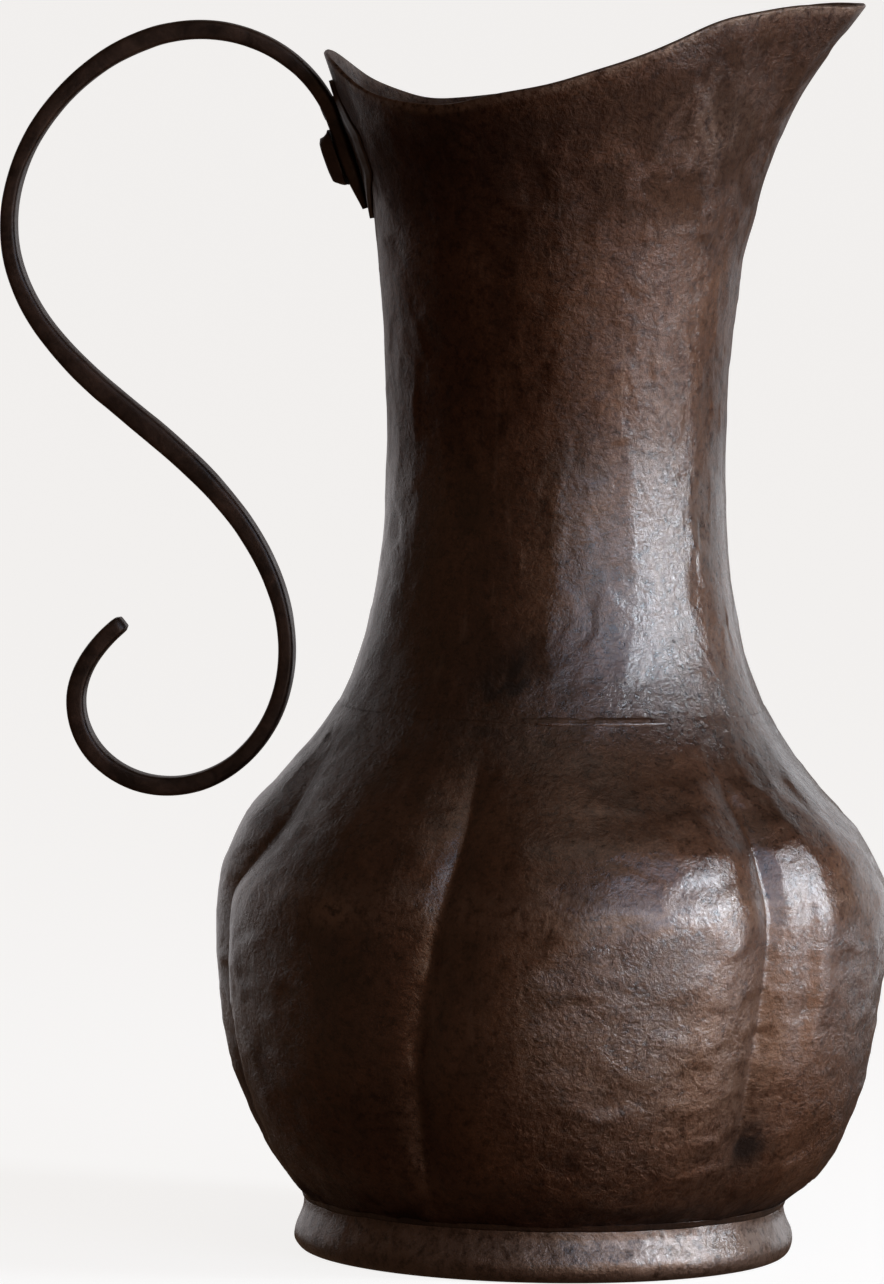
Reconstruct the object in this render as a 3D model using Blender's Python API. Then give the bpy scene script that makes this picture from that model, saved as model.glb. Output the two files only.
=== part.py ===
"""Hammered copper water jug, as separate pieces.

A six-lobed belly raised with its own bottom, a tall waisted neck with a pulled spout, a foot ring
rolled round a wire, and a forged iron scroll handle riveted to the back of the neck. The neck's
skirt sits inside the belly's collar, and a ring of braze fills the seam. A line of solder holds
the foot.

Metres, +Z up, +X towards the spout. The origin is the middle of the jug's outline on the surface
that it stands on. Every shape is worked out about the vessel's own axis. An empty on that axis
carries the pieces. Outlines are written in millimetres, as radius or reach against height.
"""

import math

import bmesh
import bpy
import numpy as np
from mathutils import Vector

MM = 0.001

# Sheet, clearances and facets
SHEET = 1.2 * MM
GAP = 0.3 * MM
BELLY_SIDES = 48
NECK_SIDES = 56
RING_SIDES = 48
RIVET_SIDES = 16
WIRE_SIDES = 8
SHARP_ABOVE = math.radians(40)

# Belly: crest line of the lobes from the collar down to the middle of the bottom, (radius, height)
BELLY_LINE = (
    (51.3, 131.6), (57.4, 122.6), (66.1, 113), (74.9, 103), (80.1, 93), (81.6, 79),
    (80.9, 64), (78.1, 48), (73.1, 33), (66.3, 21.2), (60, 15.2), (54, 10.9),
    (42, 8.6), (22, 8), (4, 8),
)
# How far the belly sits towards the spout at each height, (height, shift)
BELLY_SHIFT = (
    (0, 0), (13, 0), (22, 0.8), (35, 0.5), (48, 0), (66, 0), (90, 0.5), (103, 0.8), (115, 0), (132, 0),
)
LOBES = 6
LOBE_SWELL = 0.022
GROOVE_DEPTH = 0.055
GROOVE_HALF_WIDTH = math.radians(13)
GROOVE_POWER = 1.6
FIRST_GROOVE = math.radians(17)
FRONT_LOBE = math.radians(-73)
# The front lobe is a little wide in the belly and narrows on the shoulder
FRONT_WIDENS = 0.07
FRONT_NARROWS = 0.175
NARROWING = (84 * MM, 107 * MM)
LOBES_FADE_OUT = (129 * MM, 98 * MM)
LOBES_START = (14.6 * MM, 48 * MM)
LOBES_START_POWER = 3

# Neck: radius at each height, as (height, radius), at the sides, the back and the spout
NECK_WAIST = (
    (125, 55.3), (137, 48.8), (148, 45), (161, 42.5), (176, 40.9), (191, 40.4), (209, 40.8),
    (226, 42), (239, 43.4),
)
SIDE_FLARE = NECK_WAIST + ((250, 44.7), (260, 46.4), (270, 49), (285, 53.4), (302, 58.3))
BACK_FLARE = NECK_WAIST + ((250, 44.8), (257, 46.2), (265, 49), (274, 52.4), (288, 57.7), (302, 63))
SPOUT_FLARE = NECK_WAIST + (
    (248, 45.8), (258, 48.2), (268, 51.9), (278, 56.8), (288, 63), (297, 69.9), (303, 74.2),
)
BACK_BEGINS = math.radians(60)
SPOUT_STARTS = 225 * MM
SPOUT_TOP = 300 * MM
SPOUT_NOSE_RADIUS = 10 * MM
NECK_ROWS = (139, 146, 155, 167, 182, 200, 218, 235)
RIM_ROW_SHARES = (0.22, 0.42, 0.6, 0.75, 0.88, 1)
# Rim seen from the side, as (reach towards the spout, height)
RIM_LINE = (
    (-58, 287.4), (-48, 279.2), (-40, 276.1), (-28, 275.1), (-9, 277.9), (13, 284.1),
    (30, 290.7), (44, 296.6), (57, 299.2), (73, 299.4),
)
RIM_TRIES = 40
FACETS_TO_SPOUT = 0.6

# Seam between neck and belly
SKIRT_ROWS = (126.5, 130)
SKIRT_GAP = 0.5 * MM
JOGGLE = (133.2 * MM, 134.4 * MM)
BRAZE_BAND = (131.9 * MM, 133.95 * MM)
BRAZE_DEPTH = 1.15 * MM
BRAZE_SLANT = 0.92 * MM

# Foot ring
FOOT_TOP_RADIUS = 57.5 * MM
FOOT_WALL = ((57.8, 10.4), (58.4, 8.4), (59.1, 6.4))
BEAD_CENTRE = (56.6 * MM, 3.05 * MM)
BEAD_RADIUS = 3.3 * MM
WIRE_RADIUS = 1.8 * MM
BEAD_TURNS = (25, -205)
BEAD_STEPS = (3, 7)
FOOT_GAP = 0.42 * MM
SOLDER_GAP = 0.45 * MM
SOLDER_LEG = 1.3 * MM
SOLDER_INSET = 0.5 * MM

# Handle: a flat bar, its bend in degrees per millimetre at lengths from where it leaves the neck
HANDLE_LEAVES_AT = 271.5 * MM
BAR_BENDS = (
    (0, 1.82), (45, 1.52), (75, 0.96), (122, 1.58), (178, -0.22), (300, -2.5), (325, -3.28),
    (342, -1.31), (346, -1.31),
)
BAR_LENGTH = 346 * MM
BAR_THICKNESS = (
    (-23, 1.3), (-16, 3.2), (0, 3.5), (56, 4.7), (104, 3.8), (170, 5.5), (246, 3.9), (296, 4.6),
    (346, 4.2),
)
BAR_WIDTH = ((-23, 3), (-16, 8.4), (0, 8.6), (56, 7.6), (170, 8.6), (296, 7.6), (346, 6.8))
BAR_CHAMFER = 0.7 * MM
MOST_CHAMFER = 0.4
BAR_STEP = 4.6 * MM
TONGUE = 23 * MM
TONGUE_STEPS = 9

# Leaf-shaped plate behind the bar, and what fastens both
LEAF_HEIGHTS = (247.5 * MM, 280.5 * MM)
LEAF_HALF_WIDTH = 15 * MM
LEAF_TIP = 1.4 * MM
LEAF_THICKNESS = 0.8 * MM
LEAF_FULLNESS = 0.9
LEAF_FACETS = (12, 8)
RIVET_RADIUS = 2 * MM
RIVET_HOLE_RADIUS = 2.3 * MM
SQUARE_RIVET_AT = 263.6 * MM
FLUSH_RIVET_AT = 275.2 * MM
WASHER_RADIUS = 4.5 * MM
WASHER_THICKNESS = 0.9 * MM
WASHER_STANDOFF = 0.55 * MM
HEAD_HEIGHT = 3.1 * MM
HEAD_BASE = (7 * MM, 5.6 * MM)
HEAD_TOP = (6 * MM, 4.6 * MM)
HEAD_SHOULDER = 0.85
HEAD_CROWN = 0.8
FLUSH_HEAD_RADIUS = 3.4 * MM
FLUSH_HEAD_DEPTH = 1.5 * MM
FLUSH_HEAD_SUNK = 0.1 * MM
PEENED_RADIUS = 3.4 * MM
PEENED_HEIGHT = 1.6 * MM
PEENED_ROUNDING = ((1, 0), (0.85, 0.6), (0.4, 1))
HOLE_STARTS = -5 * MM
HOLE_RUNS_PAST = 2 * MM

COPPER = (0.10, 0.048, 0.030)
COPPER_FOOT = (0.13, 0.068, 0.045)
BRAZE = (0.17, 0.095, 0.05)
SOLDER = (0.06, 0.045, 0.04)
IRON = (0.030, 0.020, 0.017)


def clear_scene():
    for obj in list(bpy.data.objects):
        bpy.data.objects.remove(obj, do_unlink=True)


def material(name, colour, metallic, roughness):
    result = bpy.data.materials.new(name)
    result.use_nodes = True
    shader = result.node_tree.nodes["Principled BSDF"]
    shader.inputs["Base Color"].default_value = (*colour, 1)
    shader.inputs["Metallic"].default_value = metallic
    shader.inputs["Roughness"].default_value = roughness
    result.diffuse_color = (*colour, 1)
    return result


def curve_value(knots, x):
    """The smooth curve through the knots, at x: cubic pieces that share their slopes."""
    xs, ys = np.array(knots, float).T
    slopes = np.gradient(ys, xs)
    i = int(np.clip(np.searchsorted(xs, x) - 1, 0, len(xs) - 2))
    span = xs[i + 1] - xs[i]
    t = (x - xs[i]) / span
    start = ys[i] * (1 + 2 * t) + span * slopes[i] * t
    end = ys[i + 1] * (3 - 2 * t) - span * slopes[i + 1] * (1 - t)
    return float(start * (1 - t) ** 2 + end * t**2)


def ease(start, end, x):
    """0 at start, 1 at end, and smooth between."""
    t = min(max((x - start) / (end - start), 0), 1)
    return t * t * (3 - 2 * t)


def ring_mesh(name, rings, join_ends=False, caps=()):
    """Faces between rings of points: a tube, closed into a hoop, or capped at the rings named."""
    work = bmesh.new()
    made = [[work.verts.new(point) for point in ring] for ring in rings]
    pairs = list(zip(made, made[1:]))
    if join_ends:
        pairs.append((made[-1], made[0]))
    for one, other in pairs:
        for i in range(len(one)):
            j = (i + 1) % len(one)
            work.faces.new((one[i], one[j], other[j], other[i]))
    for cap in caps:
        work.faces.new(made[cap])
    bmesh.ops.recalc_face_normals(work, faces=work.faces)
    mesh = bpy.data.meshes.new(name)
    work.to_mesh(mesh)
    work.free()
    return mesh


def turn_outward(mesh):
    """Turns an open sheet's faces away from the vessel's axis."""
    lean = sum(face.area * face.normal.dot(Vector((*face.center.xy, 0))) for face in mesh.polygons)
    if lean < 0:
        mesh.flip_normals()


def add_piece(name, mesh, finish, axis):
    obj = bpy.data.objects.new(name, mesh)
    bpy.context.scene.collection.objects.link(obj)
    obj.parent = axis
    mesh.materials.append(finish)
    mesh.shade_smooth()
    mesh.set_sharp_from_angle(angle=SHARP_ABOVE)
    return obj


def thicken(obj, thickness, offset):
    """Turns a sheet into a solid: offset -1 grows it inward, +1 outward."""
    solidify = obj.modifiers.new("sheet_thickness", "SOLIDIFY")
    solidify.thickness = thickness
    solidify.offset = offset
    solidify.use_even_offset = True
    solidify.use_quality_normals = True


def cut_with(obj, cutters):
    for cutter in cutters:
        cut = obj.modifiers.new(cutter.name, "BOOLEAN")
        cut.operation = "DIFFERENCE"
        cut.solver = "EXACT"
        cut.object = cutter


def turned(name, outline, sides):
    """A closed outline of (radius, height) turned about the vessel's axis."""
    turns = [math.tau * i / sides for i in range(sides)]
    rings = [[Vector((r * math.cos(a), r * math.sin(a), z)) for a in turns] for r, z in outline]
    return ring_mesh(name, rings, join_ends=True)


# Belly


def lobe_cut(phase):
    """Share of the radius missing here: swelling lobes with a V-shaped groove between them."""
    spacing = math.tau / LOBES
    away = abs((phase - FIRST_GROOVE + spacing / 2) % spacing - spacing / 2)
    groove = max(1 - away / GROOVE_HALF_WIDTH, 0) ** GROOVE_POWER
    swell = (1 + math.cos(LOBES * away)) / 2
    return GROOVE_DEPTH * groove + LOBE_SWELL * swell


def lobe_turn(phase, height):
    """Where a line of the lobes stands round the axis at a height."""
    lean = ease(*NARROWING, height) * (FRONT_WIDENS + FRONT_NARROWS) - FRONT_WIDENS
    return phase - lean * math.sin(phase - FRONT_LOBE)


def lobe_strength(height):
    below_collar = ease(*LOBES_FADE_OUT, height)
    start, full = LOBES_START
    above_foot = min(max((height - start) / (full - start), 0), 1)
    return below_collar * (1 - (1 - above_foot) ** LOBES_START_POWER)


def underside(radius):
    """Height of the belly's outside at a radius near the foot."""
    widest = max(BELLY_LINE)
    below = sorted(point for point in BELLY_LINE if point[1] < widest[1])
    return float(np.interp(radius / MM, *zip(*below))) * MM


def belly_shell(axis, copper):
    rings = []
    for radius, level in BELLY_LINE:
        height = level * MM
        shift = float(np.interp(level, *zip(*BELLY_SHIFT))) * MM
        ring = []
        for i in range(BELLY_SIDES):
            phase = FIRST_GROOVE + math.tau * i / BELLY_SIDES
            turn = lobe_turn(phase, height)
            reach = radius * MM * (1 - lobe_strength(height) * lobe_cut(phase))
            ring.append(Vector((shift + reach * math.cos(turn), reach * math.sin(turn), height)))
        rings.append(ring)
    mesh = ring_mesh("belly_shell", rings, caps=(-1,))
    turn_outward(mesh)
    thicken(add_piece("belly_shell", mesh, copper, axis), SHEET, -1)


# Neck


def neck_radius(turn, height):
    """Radius of the neck's outside: round at the back and pulled into a nose at the spout."""
    level = height / MM
    backward = ease(BACK_BEGINS, math.pi, abs(turn))
    side = curve_value(SIDE_FLARE, level) * MM
    round_part = side + backward * (curve_value(BACK_FLARE, level) * MM - side)
    front = curve_value(SPOUT_FLARE, level) * MM
    pulled = (height - SPOUT_STARTS) / (SPOUT_TOP - SPOUT_STARTS)
    if pulled <= 0 or front <= round_part:
        return round_part
    nose = round_part + (SPOUT_NOSE_RADIUS - round_part) * min(pulled, 1)
    nose_centre = front - nose
    tangent = math.acos(min((round_part - nose) / nose_centre, 1))
    nose_end = math.atan2(nose * math.sin(tangent), nose_centre + nose * math.cos(tangent))
    if abs(turn) >= tangent:
        return round_part
    if abs(turn) >= nose_end:
        return round_part / math.cos(tangent - abs(turn))
    across = nose_centre * math.sin(turn)
    return nose_centre * math.cos(turn) + math.sqrt(nose * nose - across * across)


def neck_point(turn, height, depth=0.0):
    """A point of the neck's outside, moved inward by depth, square to the wall."""
    radius = neck_radius(turn, height)
    point = Vector((radius * math.cos(turn), radius * math.sin(turn), height))
    if not depth:
        return point
    return point - neck_normal(turn, height) * depth


def neck_normal(turn, height):
    small = 0.2 * MM
    swing = 0.002
    along = neck_point(turn, height + small) - neck_point(turn, height - small)
    around = neck_point(turn + swing, height) - neck_point(turn - swing, height)
    return around.cross(along).normalized()


def rim_height(turn):
    height = SPOUT_TOP
    for _ in range(RIM_TRIES):
        reach = neck_radius(turn, min(height, SPOUT_TOP)) * math.cos(turn)
        height = curve_value(RIM_LINE, reach / MM) * MM
    return height


def neck_rows(turn):
    """Points up one line of the neck's outside, from the skirt to the rim."""
    low, high = JOGGLE
    inset = SHEET + SKIRT_GAP
    rows = [neck_point(turn, level * MM, inset) for level in SKIRT_ROWS]
    rows += [neck_point(turn, low, inset), neck_point(turn, high)]
    rows += [neck_point(turn, level * MM) for level in NECK_ROWS]
    start = NECK_ROWS[-1] * MM
    rise = rim_height(turn) - start
    rows += [neck_point(turn, start + share * rise) for share in RIM_ROW_SHARES]
    return rows


def neck_sheet():
    """The neck's outside, with its lines drawn closer together towards the spout."""
    lines = []
    for i in range(NECK_SIDES):
        even = math.pi * (2 * i / NECK_SIDES - 1)
        lines.append(neck_rows(even - FACETS_TO_SPOUT * math.sin(even)))
    mesh = ring_mesh("neck_shell", list(zip(*lines)))
    turn_outward(mesh)
    return mesh


def neck_shell(axis, copper, cutters):
    obj = add_piece("neck_shell", neck_sheet(), copper, axis)
    thicken(obj, SHEET, -1)
    cut_with(obj, cutters)


def braze_seam(axis, braze):
    """Fills the groove between the belly's collar and the neck's joggle."""
    low, high = BRAZE_BAND
    corners = ((low, 0), (high, 0), (high - BRAZE_SLANT, BRAZE_DEPTH), (low, BRAZE_DEPTH))
    points = [neck_point(math.pi / 2, height, depth) for height, depth in corners]
    outline = [(point.y, point.z) for point in points]
    add_piece("neck_braze_seam", turned("neck_braze_seam", outline, RING_SIDES), braze, axis)


# Foot


def bead_arc(radius, start, end, steps):
    centre_r, centre_z = BEAD_CENTRE
    angles = [math.radians(start + (end - start) * i / steps) for i in range(steps + 1)]
    points = [(centre_r + radius * math.cos(a), centre_z + radius * math.sin(a)) for a in angles]
    return [(r, max(z, 0.0)) for r, z in points]


def foot_outline():
    """Cross-section of the foot: a flared wall whose lower edge is rolled round the wire."""
    inner_top = FOOT_TOP_RADIUS - SHEET
    wall = [(r * MM, z * MM) for r, z in FOOT_WALL]
    inside = [(r - SHEET, z) for r, z in wall]
    start, end = BEAD_TURNS
    outer_steps, inner_steps = BEAD_STEPS
    flat = math.degrees(math.asin(BEAD_CENTRE[1] / BEAD_RADIUS))
    outline = [(FOOT_TOP_RADIUS, underside(FOOT_TOP_RADIUS) - FOOT_GAP)]
    outline += wall
    outline += bead_arc(BEAD_RADIUS, start, -flat, outer_steps)
    outline += bead_arc(BEAD_RADIUS, flat - 180, end, outer_steps)
    outline += bead_arc(BEAD_RADIUS - SHEET, end, start, inner_steps)
    outline += reversed(inside[:2])
    outline.append((inner_top, underside(inner_top) - FOOT_GAP))
    return outline


def foot_band(axis, copper):
    add_piece("foot_band", turned("foot_band", foot_outline(), RING_SIDES), copper, axis)


def foot_wire(axis, copper):
    outline = bead_arc(WIRE_RADIUS, 0, 360, WIRE_SIDES)[:-1]
    add_piece("foot_wire", turned("foot_wire", outline, RING_SIDES), copper, axis)


def foot_solder(axis, solder):
    """A small fillet in the corner between the belly's underside and the foot's wall."""
    corner = FOOT_TOP_RADIUS + SOLDER_GAP
    far = corner + SOLDER_LEG
    top = underside(corner) - SOLDER_GAP
    low = (corner + SOLDER_INSET, top - SOLDER_LEG)
    outline = ((corner, top), (far, underside(far) - SOLDER_GAP), low)
    add_piece("foot_solder", turned("foot_solder", outline, RING_SIDES), solder, axis)


# Handle


def wall_stack(height, distance):
    """A point behind the neck, at a distance outward from its wall, and the wall's normal."""
    normal = neck_normal(math.pi, height)
    return neck_point(math.pi, height) + normal * distance, normal


def bar_size(length):
    thickness = curve_value(BAR_THICKNESS, length / MM) * MM
    width = curve_value(BAR_WIDTH, length / MM) * MM
    return thickness, width


def bar_seat():
    """Distance from the neck's wall to the bar's inner face: the leaf and a gap either side."""
    return LEAF_THICKNESS + 2 * GAP


def tongue_stations():
    """(length, centre) from the tongue's tip up to where the bar leaves the neck."""
    stations = []
    slope = neck_normal(math.pi, HANDLE_LEAVES_AT)
    for i in range(TONGUE_STEPS):
        length = -TONGUE * (1 - i / TONGUE_STEPS)
        thickness, _ = bar_size(length)
        height = HANDLE_LEAVES_AT + length * abs(slope.x)
        centre, _ = wall_stack(height, bar_seat() + thickness / 2)
        stations.append((length, centre))
    return stations


def scroll_stations():
    """(length, centre) along the free part of the bar, bent by BAR_BENDS."""
    thickness, _ = bar_size(0)
    centre, normal = wall_stack(HANDLE_LEAVES_AT, bar_seat() + thickness / 2)
    heading = math.atan2(-normal.x, normal.z)
    stations = [(0.0, centre)]
    count = round(BAR_LENGTH / BAR_STEP)
    step = BAR_LENGTH / count
    lengths, bends = zip(*BAR_BENDS)
    for i in range(count):
        bend = np.interp((i + 0.5) * step / MM, lengths, bends)
        turn = math.radians(bend) * step / MM
        middle = heading + turn / 2
        chord = step * math.sin(turn / 2) / (turn / 2) if turn else step
        centre = centre + Vector((math.cos(middle), 0, math.sin(middle))) * chord
        heading += turn
        stations.append(((i + 1) * step, centre))
    return stations


def bar_section(centre, along, thickness, width):
    """Eight corners of the bar, a flat bar with its edges taken off."""
    out = Vector((-along.z, 0, along.x))
    side = Vector((0, 1, 0))
    t, w = thickness / 2, width / 2
    chamfer = min(BAR_CHAMFER, MOST_CHAMFER * thickness, MOST_CHAMFER * width)
    corners = ((t, w - chamfer), (t - chamfer, w), (chamfer - t, w), (-t, w - chamfer))
    half = [centre + out * a + side * b for a, b in corners]
    return half + [centre + out * a - side * b for a, b in reversed(corners)]


def handle_bar(axis, iron, cutters):
    stations = tongue_stations() + scroll_stations()
    centres = [centre for _, centre in stations]
    rings = []
    for i, (length, centre) in enumerate(stations):
        before = centres[max(i - 1, 0)]
        after = centres[min(i + 1, len(centres) - 1)]
        along = (after - before).normalized()
        thickness, width = bar_size(length)
        rings.append(bar_section(centre, along, thickness, width))
    last = (centres[-1] - centres[-2]).normalized()
    tip = centres[-1] + last * BAR_CHAMFER
    thickness, width = bar_size(BAR_LENGTH)
    rings.append(bar_section(tip, last, thickness - BAR_CHAMFER, width - BAR_CHAMFER))
    mesh = ring_mesh("handle_bar", rings, caps=(0, -1))
    cut_with(add_piece("handle_bar", mesh, iron, axis), cutters)


def handle_leaf(axis, iron, cutters):
    """A pointed oval of sheet iron, shaped to the back of the neck."""
    low, high = LEAF_HEIGHTS
    rows, columns = LEAF_FACETS
    grid = bmesh.new()
    lines = []
    for i in range(rows + 1):
        height = low + (high - low) * i / rows
        fullness = math.sin(math.pi * i / rows) ** LEAF_FULLNESS
        half = LEAF_TIP + (LEAF_HALF_WIDTH - LEAF_TIP) * fullness
        radius = neck_radius(math.pi, height)
        line = []
        for j in range(columns + 1):
            turn = math.pi + (2 * j / columns - 1) * half / radius
            line.append(grid.verts.new(neck_point(turn - math.tau, height, -GAP)))
        lines.append(line)
    for one, other in zip(lines, lines[1:]):
        for j in range(columns):
            grid.faces.new((one[j], one[j + 1], other[j + 1], other[j]))
    mesh = bpy.data.meshes.new("handle_leaf")
    grid.to_mesh(mesh)
    grid.free()
    turn_outward(mesh)
    leaf = add_piece("handle_leaf", mesh, iron, axis)
    thicken(leaf, LEAF_THICKNESS, 1)
    cut_with(leaf, cutters)


# Rivets and washers, built along +Z and stood square to the wall


def round_ring(radius, level):
    turns = [math.tau * i / RIVET_SIDES for i in range(RIVET_SIDES)]
    return [Vector((radius * math.cos(a), radius * math.sin(a), level)) for a in turns]


def square_ring(half_sizes, level):
    ring = []
    for i in range(RIVET_SIDES):
        a = math.tau * i / RIVET_SIDES
        stretch = 1 / max(abs(math.cos(a)), abs(math.sin(a)))
        x = half_sizes[0] * math.cos(a) * stretch
        y = half_sizes[1] * math.sin(a) * stretch
        ring.append(Vector((x, y, level)))
    return ring


def stand_on_wall(obj, height):
    """Puts a piece's origin on the wall's outside, with its +Z pointing away from the neck."""
    point, normal = wall_stack(height, 0)
    obj.location = point
    obj.rotation_euler = (0, math.atan2(normal.x, normal.z), 0)


def inner_end():
    """Rings of the shank's inner end: peened over the washer inside the neck."""
    seat = -(SHEET + WASHER_STANDOFF + WASHER_THICKNESS + GAP)
    rings = [round_ring(RIVET_RADIUS, seat)]
    for spread, depth in PEENED_ROUNDING:
        rings.append(round_ring(spread * PEENED_RADIUS, seat - depth * PEENED_HEIGHT))
    return rings


def bar_face(height):
    """Distance of the bar's outer face from the wall, measured square to the wall."""
    point, normal = wall_stack(height, 0)
    side = Vector((-normal.z, 0, normal.x))
    gaps = []
    for length, centre in tongue_stations() + scroll_stations():
        offset = centre - point
        thickness, _ = bar_size(length)
        if length < TONGUE:
            gaps.append((offset.dot(side), offset.dot(normal) + thickness / 2))
    gaps.sort()
    across, outward = zip(*gaps)
    return float(np.interp(0, across, outward))


def square_rivet(axis, iron):
    face = bar_face(SQUARE_RIVET_AT) + GAP
    rings = [
        square_ring([HEAD_CROWN * size for size in HEAD_TOP], face + HEAD_HEIGHT),
        square_ring(HEAD_TOP, face + HEAD_SHOULDER * HEAD_HEIGHT),
        square_ring(HEAD_BASE, face),
        round_ring(RIVET_RADIUS, face),
    ]
    mesh = ring_mesh("handle_rivet_square", rings + inner_end(), caps=(0, -1))
    rivet = add_piece("handle_rivet_square", mesh, iron, axis)
    stand_on_wall(rivet, SQUARE_RIVET_AT)


def flush_rivet(axis, iron):
    face = bar_face(FLUSH_RIVET_AT)
    rings = [
        round_ring(FLUSH_HEAD_RADIUS, face - FLUSH_HEAD_SUNK),
        round_ring(RIVET_RADIUS, face - FLUSH_HEAD_DEPTH),
    ]
    mesh = ring_mesh("handle_rivet_flush", rings + inner_end(), caps=(0, -1))
    rivet = add_piece("handle_rivet_flush", mesh, iron, axis)
    stand_on_wall(rivet, FLUSH_RIVET_AT)


def washer(name, height, axis, iron):
    top = -(SHEET + WASHER_STANDOFF)
    bottom = top - WASHER_THICKNESS
    rings = [
        round_ring(RIVET_HOLE_RADIUS, top),
        round_ring(WASHER_RADIUS, top),
        round_ring(WASHER_RADIUS, bottom),
        round_ring(RIVET_HOLE_RADIUS, bottom),
    ]
    stand_on_wall(add_piece(name, ring_mesh(name, rings, join_ends=True), iron, axis), height)


def hole_cutter(name, height, axis, countersink):
    """A drill through the neck, the leaf and the bar, widened at its outer end if asked."""
    face = bar_face(height)
    outer = face + HOLE_RUNS_PAST
    rings = [round_ring(RIVET_HOLE_RADIUS, HOLE_STARTS)]
    if countersink:
        spread = FLUSH_HEAD_RADIUS + GAP
        rings.append(round_ring(RIVET_HOLE_RADIUS, face - FLUSH_HEAD_DEPTH - GAP))
        rings.append(round_ring(spread, face - FLUSH_HEAD_SUNK))
        rings.append(round_ring(spread, outer))
    else:
        rings.append(round_ring(RIVET_HOLE_RADIUS, outer))
    mesh = ring_mesh(name, rings, caps=(0, -1))
    cutter = bpy.data.objects.new(name, mesh)
    bpy.context.scene.collection.objects.link(cutter)
    cutter.parent = axis
    cutter.hide_render = True
    cutter.display_type = "WIRE"
    stand_on_wall(cutter, height)
    return cutter


def vessel_axis():
    axis = bpy.data.objects.new("vessel_axis", None)
    bpy.context.scene.collection.objects.link(axis)
    return axis


def centre_outline(axis):
    """Moves the vessel's axis so that the outline of all the pieces is centred on X = 0."""
    bpy.context.view_layer.update()
    graph = bpy.context.evaluated_depsgraph_get()
    reaches = []
    for obj in axis.children:
        if obj.hide_render:
            continue
        solid = obj.evaluated_get(graph)
        mesh = solid.to_mesh()
        reaches += [(solid.matrix_world @ vertex.co).x for vertex in mesh.vertices]
        solid.to_mesh_clear()
    axis.location.x = -(min(reaches) + max(reaches)) / 2
    print(f"vessel axis at X = {axis.location.x:.6f} m")


def build():
    clear_scene()
    axis = vessel_axis()
    copper = material("copper_patina", COPPER, 0.8, 0.42)
    foot_copper = material("copper_worn", COPPER_FOOT, 0.8, 0.4)
    wire = material("copper_wire", COPPER_FOOT, 0.9, 0.35)
    braze = material("brass_braze", BRAZE, 0.9, 0.45)
    solder = material("soft_solder", SOLDER, 0.7, 0.55)
    iron = material("forged_iron", IRON, 0.6, 0.55)
    rivet_iron = material("rivet_iron", IRON, 0.6, 0.5)
    cutters = [
        hole_cutter("square_rivet_hole", SQUARE_RIVET_AT, axis, False),
        hole_cutter("flush_rivet_hole", FLUSH_RIVET_AT, axis, True),
    ]
    belly_shell(axis, copper)
    neck_shell(axis, copper, cutters)
    braze_seam(axis, braze)
    foot_band(axis, foot_copper)
    foot_wire(axis, wire)
    foot_solder(axis, solder)
    handle_bar(axis, iron, cutters)
    handle_leaf(axis, iron, cutters)
    square_rivet(axis, rivet_iron)
    flush_rivet(axis, rivet_iron)
    washer("rivet_washer_square", SQUARE_RIVET_AT, axis, rivet_iron)
    washer("rivet_washer_flush", FLUSH_RIVET_AT, axis, rivet_iron)
    centre_outline(axis)


build()
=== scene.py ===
"""Looks for the hammered copper water jug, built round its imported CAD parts.

Lengths in the outlines are millimetres about the vessel's own axis, as radius or reach against
height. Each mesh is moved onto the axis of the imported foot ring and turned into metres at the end.
"""

import math

import bpy
import numpy as np
from mathutils import Matrix, Quaternion, Vector


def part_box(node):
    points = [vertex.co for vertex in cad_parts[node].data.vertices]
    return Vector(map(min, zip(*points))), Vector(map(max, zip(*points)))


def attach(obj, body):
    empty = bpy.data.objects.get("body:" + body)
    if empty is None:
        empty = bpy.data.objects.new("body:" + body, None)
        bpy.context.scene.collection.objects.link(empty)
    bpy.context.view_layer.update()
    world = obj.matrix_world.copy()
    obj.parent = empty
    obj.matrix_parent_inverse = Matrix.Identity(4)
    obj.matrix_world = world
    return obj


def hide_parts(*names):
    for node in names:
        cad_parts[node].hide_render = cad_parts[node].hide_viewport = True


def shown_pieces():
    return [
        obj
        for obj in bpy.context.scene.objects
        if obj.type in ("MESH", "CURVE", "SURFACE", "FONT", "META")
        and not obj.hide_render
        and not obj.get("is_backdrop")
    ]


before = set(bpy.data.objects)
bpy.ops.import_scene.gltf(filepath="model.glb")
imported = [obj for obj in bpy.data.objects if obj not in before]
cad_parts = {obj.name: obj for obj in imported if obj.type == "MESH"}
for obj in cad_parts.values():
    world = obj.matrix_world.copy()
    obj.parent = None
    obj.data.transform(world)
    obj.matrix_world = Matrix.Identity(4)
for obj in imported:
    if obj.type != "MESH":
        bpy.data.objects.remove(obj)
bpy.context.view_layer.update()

MM = 0.001
FOOT_LOW, FOOT_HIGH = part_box("foot_band")
AXIS = (FOOT_LOW + FOOT_HIGH) / 2
TO_AXIS = Matrix.Translation((AXIS.x, AXIS.y, 0))
SHEET = 1.2
GAP = 0.3
SHARP_ABOVE = math.radians(50)
# Directions round the axis in degrees, from the spout: the middle lobe in front, and the camera's side
FRONT = -73
CAMERA_SIDE = -85

# Belly: crest line of the lobes from the collar down to the middle of the bottom, (radius, height)
BELLY_LINE = (
    (51.3, 131.6), (52.7, 129.3), (57.4, 122.6), (66.1, 113), (74.9, 103), (79, 94.4), (80.8, 90),
    (81.4, 86.6), (81.7, 82), (81.75, 76), (80.9, 64), (78.1, 48), (73.1, 33), (66.3, 21.2),
    (60, 15.2), (54, 10.9), (42, 8.6), (22, 8), (4, 8),
)
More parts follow.
